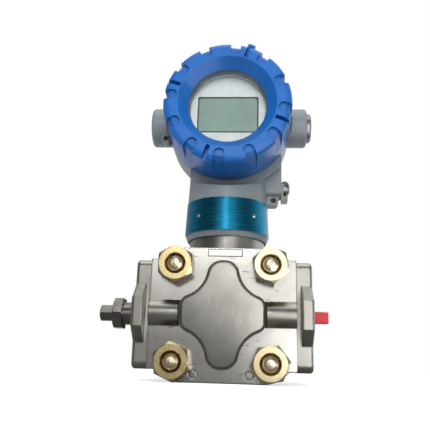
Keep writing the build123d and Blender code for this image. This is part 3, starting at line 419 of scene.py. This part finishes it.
def makeMaterials():
    # turned metal: colour, stain, roughness, ring axis, pitch and depth in mm; plastic: colour, roughness,
    # grain and its depth in mm; powder coat: colour, worn colour, roughness, clear coat, softness in mm
    return {
        "cast": castSteelMaterial(),
        "drum": turnedMetal("turnedStainlessDrum", "#BBB9B3", "#A19E98", (0.28, 0.38), "Z", 0.4, 0.006),
        "weld": turnedMetal("weldBeadStainless", "#A9A59B", "#8E8470", (0.30, 0.42), "Y", 0.5, 0.004),
        "vent": turnedMetal("machinedBarStainless", "#9A9792", "#84817C", (0.24, 0.32), "X", 1.1, 0.0008),
        "foil": turnedMetal("rolledStainlessFoil", "#C4C4C2", "#B0B0AE", (0.18, 0.25), "Z", 0.5, 0.002),
        "fastener": turnedMetal("nickelPlatedSteel", "#A3A4A3", "#7F7F7C", (0.28, 0.38), "X", 0.9, 0.001),
        "tag": plainPlastic("blankWhiteTag", "#F2F2F0", 0.38, 0.4, 0.006),
        "border": plainPlastic("tagBorderGrey", "#8E8E8C", 0.45, 0.4, 0.004),
        "rivet": turnedMetal("polishedAluminiumRivet", "#E6E6E4", "#CFCFCC", (0.14, 0.22), "Y", 0.5, 0.001),
        "setScrew": turnedMetal("blackenedSteel", "#5A5956", "#444341", (0.32, 0.42), "Y", 0.3, 0.004),
        "thread": plainPlastic("bareCastAluminiumThread", "#8B8F92", 0.42, 0.5, 0.01, {"Metallic": 0.7}),
        # the display frame is dark as painted shade of the display's recess
        "mask": plainPlastic("paintedShadeDisplayFrame", "#4C5A55", 0.45, 0.4, 0.004),
        "retainer": plainPlastic("blastedAluminiumRing", "#C4CED2", 0.40, 0.4, 0.01),
        # painted shade laid round the foot of each plateau
        "footShade": plainPlastic("paintedShadeAtPlateauFoot", "#615E55", 0.60, 0.5, 0.01, {"Metallic": 0.4}),
        "zinc": yellowZincMaterial(),
        "grey": powderCoat("greyPowderCoat", "#7D868A", "#767F83", 0.36, (0.25, 0.16), 0.9),
        "blue": powderCoat("bluePowderCoat", "#0C62B2", "#0A5AA7", 0.32, (0.25, 0.08), 0.5),
        "plate": namePlateMaterial(),
        "glass": windowMaterial(),
        "red": plainPlastic("redPolyethylene", "#CE3B44", 0.42, 0.5, 0.02, {
            "Subsurface Weight": 0.15, "Subsurface Radius": (0.002, 0.0006, 0.0005)}),
        "gasket": plainPlastic("pressedFluoropolymer", "#E4E3DE", 0.5, 0.4, 0.01),
        "rubber": plainPlastic("nitrileRubber", "#1B1B1C", 0.62, 0.3, 0.02),
        "faceplate": plainPlastic("screenPrintedPolycarbonate", "#F1F6F5", 0.38, 0.3, 0.004),
        "display": plainPlastic("unlitLiquidCrystal", "#97B0A5", 0.24, 1.2, 0.002),
        "board": plainPlastic("solderMaskedLaminate", "#1D5A38", 0.35, 0.6, 0.01),
        "potting": plainPlastic("mouldedElectronicsCover", "#2B2D30", 0.5, 0.5, 0.02),
        "terminal": plainPlastic("phenolicTerminalBlock", "#34373A", 0.42, 0.4, 0.015),
    }


finishOf = {
    "cast": ["process_head_front", "process_head_rear"],
    "drum": ["meter_body", "sensor_header"],
    "vent": ["vent_body_front", "vent_body_rear", "vent_stem_front", "vent_stem_rear"],
    "foil": ["diaphragm_front", "diaphragm_rear"],
    "gasket": ["head_gasket_front", "head_gasket_rear"],
    "zinc": ["head_bolts", "head_nuts"],
    "red": ["port_plug_front", "port_plug_rear"],
    "grey": ["electronics_housing"],
    "blue": ["front_cap", "rear_cap"],
    "glass": ["window_glass"],
    "retainer": ["window_retainer"],
    "rubber": ["neck_seal", "front_cap_seal", "rear_cap_seal"],
    "faceplate": ["display_bezel"],
    "display": ["lcd_panel"],
    "board": ["display_board"],
    "potting": ["electronics_module"],
    "terminal": ["terminal_block"],
    "plate": ["nameplate"],
    "fastener": ["display_standoffs", "terminal_screws", "conduit_plug", "nameplate_rivets", "ground_clamp",
                 "ground_screw"],
    "setScrew": ["cap_lock_screw_front", "cap_lock_screw_rear", "neck_lock_screw"],
}
materials = makeMaterials()
for finish, names in finishOf.items():
    for name in names:
        mesh = nodes[name].data
        mesh.materials.clear()
        mesh.materials.append(materials[finish])
print("finishes given to", len(nodes), "nodes")


# Grid surfaces

def gridPiece(name, grids, finish, body, closeAcross=False, closeAlong=False, flip=False):
    # each grid is rows x columns x 3, in millimetres; they may close on themselves either way
    points, faces, count = [], [], 0
    for grid in grids:
        rows, columns = grid.shape[:2]
        index = count + np.arange(rows * columns).reshape(rows, columns)
        if closeAlong:
            index = np.vstack([index, index[:1]])
        if closeAcross:
            index = np.hstack([index, index[:, :1]])
        corners = [index[:-1, :-1], index[:-1, 1:], index[1:, 1:], index[1:, :-1]]
        if flip:
            corners = corners[::-1]
        faces.append(np.stack([corner.ravel() for corner in corners], axis=1))
        points.append(grid.reshape(-1, 3))
        count += rows * columns
    mesh = bpy.data.meshes.new(name)
    mesh.from_pydata((np.vstack(points) * millimetre).tolist(), [], np.vstack(faces).tolist())
    mesh.polygons.foreach_set("use_smooth", np.ones(len(mesh.polygons), dtype=bool))
    mesh.materials.append(materials[finish])
    mesh.update()
    piece = bpy.data.objects.new(name, mesh)
    bpy.context.collection.objects.link(piece)
    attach(piece, body)
    return piece


def stacked(x, y, z):
    # three arrays that broadcast together, as one grid of points
    return np.stack(np.broadcast_arrays(x, y, z), axis=-1).astype(float)


# Blank tag plate on the front head

tagPlate = {
    "low": (-9.3, 70.8), "high": (11.2, 75.4), "face": -40.0, "rise": 0.4, "sunk": 0.03,
    "edge": 0.3, "edgeSteps": (0, 0.08, 0.3, 0.6, 1), "border": 0.35,
}


def makeTagPlate():
    # a thin plate whose rise falls off over the last bit as a quarter circle:
    # rise sqrt(1 - (1 - inset / edge)^2)
    s = tagPlate
    steps = np.append(s["edge"] * np.array(s["edgeSteps"]), s["edge"] + s["border"])
    x = np.concatenate([s["low"][0] + steps, s["high"][0] - steps[::-1]])[None, :]
    z = np.concatenate([s["low"][1] + steps, s["high"][1] - steps[::-1]])[:, None]
    insetX = np.minimum(x - s["low"][0], s["high"][0] - x)
    insetZ = np.minimum(z - s["low"][1], s["high"][1] - z)
    inset = np.clip(np.minimum(insetX, insetZ) / s["edge"], 0, 1)
    rise = s["rise"] * np.sqrt(1 - (1 - inset) ** 2)
    grid = stacked(x, s["face"] + s["sunk"] - rise, z)
    piece = gridPiece("blankTagPlate", [grid], "tag", "wet_end")
    # the faces of the outer steps, over the rounded edge and a band inside it, are grey
    piece.data.materials.append(materials["border"])
    ring = len(steps) - 1
    inner = np.zeros((z.shape[0] - 1, x.shape[1] - 1), dtype=int)
    inner[:ring], inner[-ring:], inner[:, :ring], inner[:, -ring:] = 1, 1, 1, 1
    piece.data.polygons.foreach_set("material_index", inner.ravel())


makeTagPlate()


# Painted shade round the foot of the plateau of each head

plateauFootShade = {
    "halfWide": 23.4, "halfHigh": 29.5, "bolt": 27.0, "scallop": 19.3, "tipRound": 7.2, "sideRound": 5.0,
    "height": 38.0, "face": 40.0, "width": 1.35, "rise": 0.7, "film": 0.05, "steps": 14,
}


def plateauOutline(away):
    # the plateau's outline, moved outwards by this much: in one quarter a tip arc, the scallop round
    # the bolt (which shrinks as the others grow) and a side arc, each tangent to the next; then mirrored
    s = plateauFootShade
    tip = s["halfHigh"] - s["tipRound"]
    side = s["halfWide"] - s["sideRound"]
    tipAcross = s["bolt"] - np.sqrt((s["scallop"] + s["tipRound"])**2 - (s["bolt"] - tip)**2)
    sideUp = s["bolt"] - np.sqrt((s["scallop"] + s["sideRound"])**2 - (s["bolt"] - side)**2)
    tipEnd = np.arctan2(s["bolt"] - tip, s["bolt"] - tipAcross)
    sideStart = np.arctan2(s["bolt"] - sideUp, s["bolt"] - side)
    arcs = []
    for x, z, radius, start, end in (
        (tipAcross, tip, s["tipRound"] + away, np.pi / 2, tipEnd),
        (s["bolt"], s["bolt"], s["scallop"] - away, tipEnd + np.pi, sideStart + np.pi),
        (side, sideUp, s["sideRound"] + away, sideStart, 0.0),
    ):
        a = np.linspace(start, end, s["steps"])
        arcs.append(np.stack([x + radius * np.cos(a), z + radius * np.sin(a)], axis=1))
    quarter = np.vstack(arcs)
    right = np.vstack([quarter, quarter[::-1] * (1, -1)])
    return np.vstack([right, right[::-1] * (-1, 1)])


def makePlateauFootShade():
    # a dark ribbon of painted shade that lies on the ground face and turns up the plateau's wall, a film's
    # thickness off both;
    # each level is its distance from the wall and its height over the face
    s = plateauFootShade
    film = s["film"]
    levels = ((s["width"], 0.0), (s["width"] - 2 * film, film), (2.4 * film, film),
              (0.6 * film, 3 * film), (0.6 * film, s["rise"]))
    grids = []
    for turn in (-1, 1):
        rows = []
        for away, rise in levels:
            loop = plateauOutline(away)
            depth = turn * np.full(len(loop), s["face"] + rise)
            rows.append(np.stack([-turn * loop[:, 0], depth, s["height"] + loop[:, 1]], axis=1))
        grids.append(np.stack(rows))
    gridPiece("plateauFootShade", grids, "footShade", "wet_end", closeAcross=True)


makePlateauFootShade()


# Domed rivets of the nameplate

rivets = {"turn": 38.5, "height": 100.3, "seat": 27.7, "radius": 1.25, "dome": 0.75, "steps": (10, 36)}


def makeRivets():
    # r = R cos t and h = H sin t over a quarter turn, set out along the radius of the neck
    s = rivets
    t = np.linspace(0, 0.5 * np.pi, s["steps"][0])[:, None]
    u = np.linspace(0, 2 * np.pi, s["steps"][1], endpoint=False)[None, :]
    grids = []
    for turn in (-s["turn"], s["turn"]):
        a = np.radians(turn)
        out = s["seat"] + s["dome"] * np.sin(t) + 0 * u
        aside = s["radius"] * np.cos(t) * np.cos(u)
        x = out * np.sin(a) + aside * np.cos(a)
        y = -out * np.cos(a) + aside * np.sin(a)
        grids.append(stacked(x, y, s["height"] + s["radius"] * np.cos(t) * np.sin(u)))
    piece = gridPiece("domedRivets", grids, "rivet", "housing", closeAcross=True)
    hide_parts("nameplate_rivets")


makeRivets()


# Weld bead round the drum

weldBead = {
    "radius": 29.7, "center": 38.0, "width": 1.9, "crown": 0.75,
    "ripple": 0.14, "beads": 96, "bow": 2.4, "steps": (960, 11),
}


def makeWeldBead():
    # crown C sqrt(1 - v^2) across the bead, with ripples sin(n a + b v^2) that bow along it
    s = weldBead
    a = np.linspace(0, 2 * np.pi, s["steps"][0], endpoint=False)[:, None]
    v = np.linspace(-1, 1, s["steps"][1])[None, :]
    arch = np.sqrt(1 - v**2)
    ripple = s["ripple"] * np.sin(s["beads"] * a + s["bow"] * v**2) * arch
    radius = s["radius"] + s["crown"] * arch + ripple
    grid = stacked(radius * np.sin(a), s["width"] * v, s["center"] + radius * np.cos(a))
    gridPiece("weldBead", [grid], "weld", "wet_end", closeAlong=True)


makeWeldBead()


# Internal threads of the open holes

threads = {
    "pitch": 1.81, "perTurn": 40, "perPitch": 6, "flank": 0.42,
    "conduit": {"y": -2.8, "z": 168.0, "mouth": -52.1, "end": -36.0, "radius": 8.96, "depth": 0.9},
    "flangeRows": (17.35, 58.65), "flangeY": (-27.0, 27.0), "flangeMouth": 51.35, "flangeEnd": 36.2,
    "flangeRadius": {-1: 4.86, 1: 4.93}, "flangeDepth": 0.62,
}


def threadGrid(mouth, end, y, z, radius, depth):
    # r = R - D tri(x / pitch - a / 2 pi), a helix of triangular ridges that runs in from the mouth
    s = threads
    rows = int(abs(end - mouth) / s["pitch"] * s["perPitch"])
    x = np.linspace(mouth, end, rows)[:, None]
    a = np.linspace(0, 2 * np.pi, s["perTurn"], endpoint=False)[None, :]
    phase = np.mod(abs(x - mouth) / s["pitch"] - a / (2 * np.pi), 1)
    ridge = np.clip((0.5 - abs(phase - 0.5)) / s["flank"], 0, 1)
    lead = np.clip(abs(x - mouth) / s["pitch"], 0, 1)
    r = radius - depth * ridge * lead
    return stacked(x + 0 * a, y + r * np.cos(a), z + r * np.sin(a))


def makeThreads():
    s = threads
    c = s["conduit"]
    grid = threadGrid(c["mouth"], c["end"], c["y"], c["z"], c["radius"], c["depth"])
    gridPiece("conduitThread", [grid], "thread", "housing", closeAcross=True)
    holes = []
    for side in (-1, 1):
        for y in s["flangeY"]:
            for z in s["flangeRows"]:
                holes.append(threadGrid(side * s["flangeMouth"], side * s["flangeEnd"], y, z,
                                        s["flangeRadius"][side], s["flangeDepth"]))
    gridPiece("flangeThreads", holes, "cast", "wet_end", closeAcross=True)


makeThreads()


def roundedLoop(halfWide, halfHigh, topRound, bottomRound, steps):
    # corner arcs of a rounded rectangle, joined by straight sides, anticlockwise from the right
    loop = []
    for sx, sz, start, r in ((1, 1, 0, topRound), (-1, 1, 90, topRound),
                             (-1, -1, 180, bottomRound), (1, -1, 270, bottomRound)):
        a = np.radians(start + np.linspace(0, 90, steps))
        x = sx * (halfWide - r) + r * np.cos(a)
        z = sz * (halfHigh - r) + r * np.sin(a)
        loop.append(np.stack([x, z], axis=1))
    return np.vstack(loop)


# Square corners of the ground faces, where the head meets its flange webs

padCorners = {
    "across": (27.0, 42.0), "up": (20.0, 31.25), "height": 38.0, "depths": (40.015, 30.0),
    "round": 1.2, "steps": 8,
}


def makePadCorners():
    # a fan from a point on the ground face out to the corner's top and side, which then turn straight back
    s = padCorners
    a = np.linspace(np.pi / 2, 0, s["steps"])
    middle, side = s["across"]
    across = np.concatenate([[middle], side - s["round"] * (1 - np.cos(a)), [side]])
    bottom, top = s["up"]
    up = np.concatenate([[top], top - s["round"] * (1 - np.sin(a)), [bottom]])
    front, back = s["depths"]
    depth = np.array([front, front, back])[:, None]
    grids = []
    for turn in (-1, 1):
        for sx in (-1, 1):
            for sz in (-1, 1):
                # a mirrored corner runs the other way round, so that its faces still look outwards
                order = slice(None, None, -sx * sz * turn)
                x = sx * np.stack([np.full(len(across), middle), across, across])[:, order]
                z = s["height"] + sz * np.stack([np.full(len(up), bottom), up, up])[:, order]
                grids.append(stacked(x, turn * depth, z))
    piece = gridPiece("padCorners", grids, "cast", "wet_end")
    piece.data.polygons.foreach_set("use_smooth", np.zeros(len(piece.data.polygons), dtype=bool))


makePadCorners()


# Frame round the display

displayFrame = {
    "outer": (19.6, 12.4, 0.8), "inner": (18.75, 11.6, 1.9), "bottomRound": 0.5, "center": 165.4,
    "face": -30.6, "rise": 0.16, "foot": 0.02, "lip": 0.3, "steps": 9,
}


def makeDisplayFrame():
    # a thin frame over the edge of the opening, dark as painted shade of the recess: outer loop, its top, inner
    # loop and down to the panel
    s = displayFrame
    outer = roundedLoop(*s["outer"], s["bottomRound"], s["steps"])
    inner = roundedLoop(*s["inner"], s["bottomRound"], s["steps"])
    levels = ((outer, s["foot"]), (outer, -s["rise"]), (inner, -s["rise"]), (inner, s["lip"]))
    grid = np.stack([stacked(loop[:, 0], s["face"] + y, s["center"] + loop[:, 1]) for loop, y in levels])
    gridPiece("displayFrame", [grid], "mask", "housing", closeAcross=True, flip=True)


makeDisplayFrame()
print("added pieces made")


# Light, floor and camera

studio = {
    "worldLight": 0.61, "dark": 0.10, "card": 1.24, "cardTop": (0.28, 0.38), "cardFoot": (0.085, 0.155),
    "cardSide": (-0.005, 0.045), "cardLow": (-0.6, -0.4), "cardWide": (-0.93, -0.83),
    "glow": 2.6, "glowSide": (0.05, 0.14), "glowTop": (0.04, 0.12),
    "mirrorLeft": 0.34, "mirrorBack": 1.0, "backBand": (-0.7, 0.3), "turnBand": (-0.3, 0.5),
    "fillPower": 5.2, "fillSize": (0.5, 0.5), "fillAzimuth": 4.0, "fillElevation": 26.0,
    "stripPower": 0.32, "stripSize": (0.05, 0.14), "stripAzimuth": -2.4, "stripElevation": 16.5,
    "topPower": 2.6, "topSize": (0.8, 0.8), "topElevation": 75.0, "distance": 0.95,
    "floorSize": 6.0, "floorGlow": 0.62, "floorMirrored": 0.04, "floorCard": 3.4,
    "floorRight": (20.0, 75.0), "floorFront": (-150.0, -90.0), "floorRear": (0.0, 80.0), "floorBehind": 0.9,
    "floorColour": "#D6D6D6", "floorShade": "#606060",
}


def makeWorld():
    # White to the camera and through glass, and a plain dimmer level for the light that it gives.
    # Mirrors see a tall pale card in front and to the right, in a dark room, and a paler room behind.
    s = studio
    world = bpy.data.worlds.new("paleStudio")
    bpy.context.scene.world = world
    world.use_nodes = True
    tree = world.node_tree
    tree.nodes.clear()
    path = addNode(tree, "ShaderNodeLightPath").outputs
    seen = addNode(tree, "ShaderNodeMath", {0: path["Is Camera Ray"], 1: path["Is Transmission Ray"]},
                   operation="MAXIMUM")
    direction = addNode(tree, "ShaderNodeTexCoord").outputs["Generated"]
    towards = addNode(tree, "ShaderNodeSeparateXYZ", {"Vector": direction}).outputs
    ramps = {}
    for name, axis, band, first, last in (
            ("above", "Z", s["cardFoot"], 0, 1), ("under", "Z", s["cardTop"], 1, 0),
            ("aside", "X", s["cardSide"], 0, 1), ("over", "Z", s["cardLow"], 0, 1),
            ("narrow", "Y", s["cardWide"], 1, 0), ("glowAside", "X", s["glowSide"], 0, s["glow"]),
            ("glowUnder", "Z", s["glowTop"], 1, 0),
            ("back", "X", s["backBand"], s["mirrorLeft"], s["mirrorBack"])):
        ramps[name] = addNode(tree, "ShaderNodeMapRange", {
            "Value": towards[axis], "From Min": band[0], "From Max": band[1], "To Min": first, "To Max": last})

    # the card is what lies above its foot, or to its right and over its low edge, within its top and
    # its far end; the glow brightens its lower right
    right = addNode(tree, "ShaderNodeMath", {0: ramps["aside"], 1: ramps["over"]}, operation="MULTIPLY")
    card = addNode(tree, "ShaderNodeMath", {0: ramps["above"], 1: right}, operation="MAXIMUM")
    for edge in ("under", "narrow"):
        card = addNode(tree, "ShaderNodeMath", {0: card, 1: ramps[edge]}, operation="MULTIPLY")
    glow = addNode(tree, "ShaderNodeMath", {0: ramps["glowAside"], 1: ramps["glowUnder"]}, operation="MULTIPLY")
    lit = addNode(tree, "ShaderNodeMath", {0: glow, 1: s["card"]}, operation="ADD")
    front = addNode(tree, "ShaderNodeMix", {"Factor": card, "A": s["dark"], "B": lit})
    mirrored = addNode(tree, "ShaderNodeMapRange", {
        "Value": towards["Y"], "From Min": s["turnBand"][0], "From Max": s["turnBand"][1],
        "To Min": front, "To Max": ramps["back"]})
    white = addNode(tree, "ShaderNodeMix", {"Factor": path["Is Glossy Ray"], "A": 1.0, "B": mirrored})
    shown = addNode(tree, "ShaderNodeMath", {0: seen, 1: path["Is Glossy Ray"]}, operation="MAXIMUM")
    level = addNode(tree, "ShaderNodeMix", {"Factor": shown, "A": s["worldLight"], "B": white})
    background = addNode(tree, "ShaderNodeBackground", {"Color": (1, 1, 1, 1), "Strength": level})
    addNode(tree, "ShaderNodeOutputWorld", {"Surface": background})


def addLamp(name, azimuth, elevation, size, power, aim, glossy=True):
    # a soft rectangle that faces the object from this direction
    data = bpy.data.lights.new(name, "AREA")
    data.shape = "RECTANGLE"
    data.size, data.size_y = size
    data.energy = power
    lamp = bpy.data.objects.new(name, data)
    a, e = np.radians(azimuth), np.radians(elevation)
    out = Vector((np.sin(a) * np.cos(e), -np.cos(a) * np.cos(e), np.sin(e)))
    lamp.location = aim + out * studio["distance"]
    lamp.rotation_mode = "QUATERNION"
    lamp.rotation_quaternion = out.to_track_quat("Z", "Y")
    lamp.visible_camera = False
    lamp.visible_glossy = glossy
    bpy.context.collection.objects.link(lamp)


def makeFloor():
    # a matt floor that shows white to the camera and keeps the shadow of the part; mirrors see it darker
    s = studio
    material, tree = newMaterial("mattWhiteFloor")
    path = addNode(tree, "ShaderNodeLightPath").outputs
    seen = addNode(tree, "ShaderNodeMath", {0: path["Is Camera Ray"], 1: path["Is Transmission Ray"]},
                   operation="MAXIMUM")
    place = addNode(tree, "ShaderNodeTexCoord").outputs["Object"]
    axes = addNode(tree, "ShaderNodeSeparateXYZ", {"Vector": place}).outputs
    ramps = {}
    for name, axis, band, first, last in (
            ("right", "X", s["floorRight"], 0, 1), ("front", "Y", s["floorFront"], 1, 0),
            ("behind", "Y", s["floorRear"], s["floorMirrored"], s["floorBehind"])):
        ramps[name] = addNode(tree, "ShaderNodeMapRange", {
            "Value": axes[axis], "From Min": band[0] * millimetre, "From Max": band[1] * millimetre,
            "To Min": first, "To Max": last})
    card = addNode(tree, "ShaderNodeMath", {0: ramps["right"], 1: ramps["front"]}, operation="MULTIPLY")
    level = addNode(tree, "ShaderNodeMix", {"Factor": card, "A": ramps["behind"], "B": s["floorCard"]})
    mirrored = addNode(tree, "ShaderNodeMath", {0: path["Is Glossy Ray"], 1: level}, operation="MULTIPLY")
    brightest = addNode(tree, "ShaderNodeMath", {0: seen, 1: mirrored}, operation="MAXIMUM")
    glowing = addNode(tree, "ShaderNodeMath", {0: brightest, 1: s["floorGlow"]}, operation="MULTIPLY")
    shade = addNode(tree, "ShaderNodeMix", {
        "Factor": path["Is Glossy Ray"],
        "A": linearColour(s["floorColour"]), "B": linearColour(s["floorShade"])}, data_type="RGBA")
    matt = addNode(tree, "ShaderNodeBsdfDiffuse", {"Color": shade})
    glow = addNode(tree, "ShaderNodeEmission", {"Color": (1, 1, 1, 1), "Strength": glowing})
    both = addNode(tree, "ShaderNodeAddShader", {0: matt, 1: glow})
    addNode(tree, "ShaderNodeOutputMaterial", {"Surface": both})
    half = s["floorSize"] / 2
    mesh = bpy.data.meshes.new("floor")
    corners = [(-half, -half, 0), (half, -half, 0), (half, half, 0), (-half, half, 0)]
    mesh.from_pydata(corners, [], [(0, 1, 2, 3)])
    mesh.materials.append(material)
    floor = bpy.data.objects.new("floor", mesh)
    bpy.context.collection.objects.link(floor)


camera = {
    "place": (14.9, -360.4, 8.7), "turn": 3.7, "tilt": 15.2, "roll": -1.7,
    "focalPixels": 560.0, "frameWidth": 430.0, "sensor": 36.0, "nearest": 0.01,
}


def makeCamera():
    # turned about Z, tilted up about X and rolled about its own line of sight
    s = camera
    turned = (Matrix.Rotation(np.radians(s["turn"]), 3, "Z") @ Matrix.Rotation(np.radians(s["tilt"]), 3, "X")
              @ Matrix.Rotation(np.radians(s["roll"]), 3, "Y"))
    right, forward, up = turned.col
    data = bpy.data.cameras.new("photographView")
    data.sensor_width = s["sensor"]
    data.lens = s["focalPixels"] * s["sensor"] / s["frameWidth"]
    data.clip_start = s["nearest"]
    viewer = bpy.data.objects.new("photographView", data)
    axes = Matrix((right, up, -forward)).transposed()
    viewer.matrix_world = Matrix.Translation(Vector(s["place"]) * millimetre) @ axes.to_4x4()
    bpy.context.collection.objects.link(viewer)
    bpy.context.scene.camera = viewer


makeWorld()
middle = (cadLow + cadHigh) / 2
for name, glossy in (("fill", False), ("strip", True)):
    addLamp(name + "Light", studio[name + "Azimuth"], studio[name + "Elevation"],
            studio[name + "Size"], studio[name + "Power"], middle, glossy)
addLamp("topLight", 0.0, studio["topElevation"], studio["topSize"], studio["topPower"], middle)
makeFloor()
makeCamera()
bpy.context.scene.view_settings.view_transform = "Standard"
print("light, floor and camera placed")
